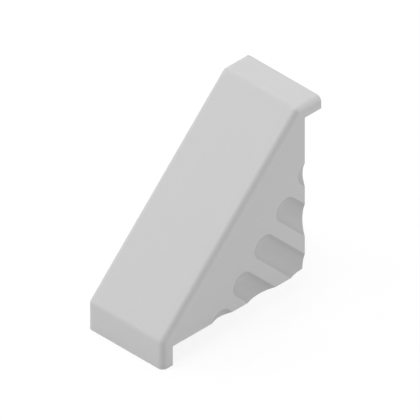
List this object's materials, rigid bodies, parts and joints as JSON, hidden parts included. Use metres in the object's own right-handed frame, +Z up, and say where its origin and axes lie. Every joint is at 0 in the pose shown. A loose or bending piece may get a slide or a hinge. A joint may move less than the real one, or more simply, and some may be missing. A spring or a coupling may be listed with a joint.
{
  "type": "gusset cover cap",
  "caption": "Moulded wedge-shaped cover cap that slips over a right-angled bracket, with a sloping panel, short lips and channelled side walls.",
  "frame": {"origin": "centre of the bounding box's foot: on the level framing face, midway between the front lip and the upright framing face, on the mirror plane", "axes": "+X across the cap, square to its side walls; +Y from the front lip towards the upright framing; +Z up from the level framing"},
  "size_m": [0.038, 0.08, 0.08],
  "materials": {
    "shell": "light grey moulded plastic, fine matt surface"
  },
  "bodies": {
    "root": {"cover_cap": "shell"}
  },
  "joints": []
}
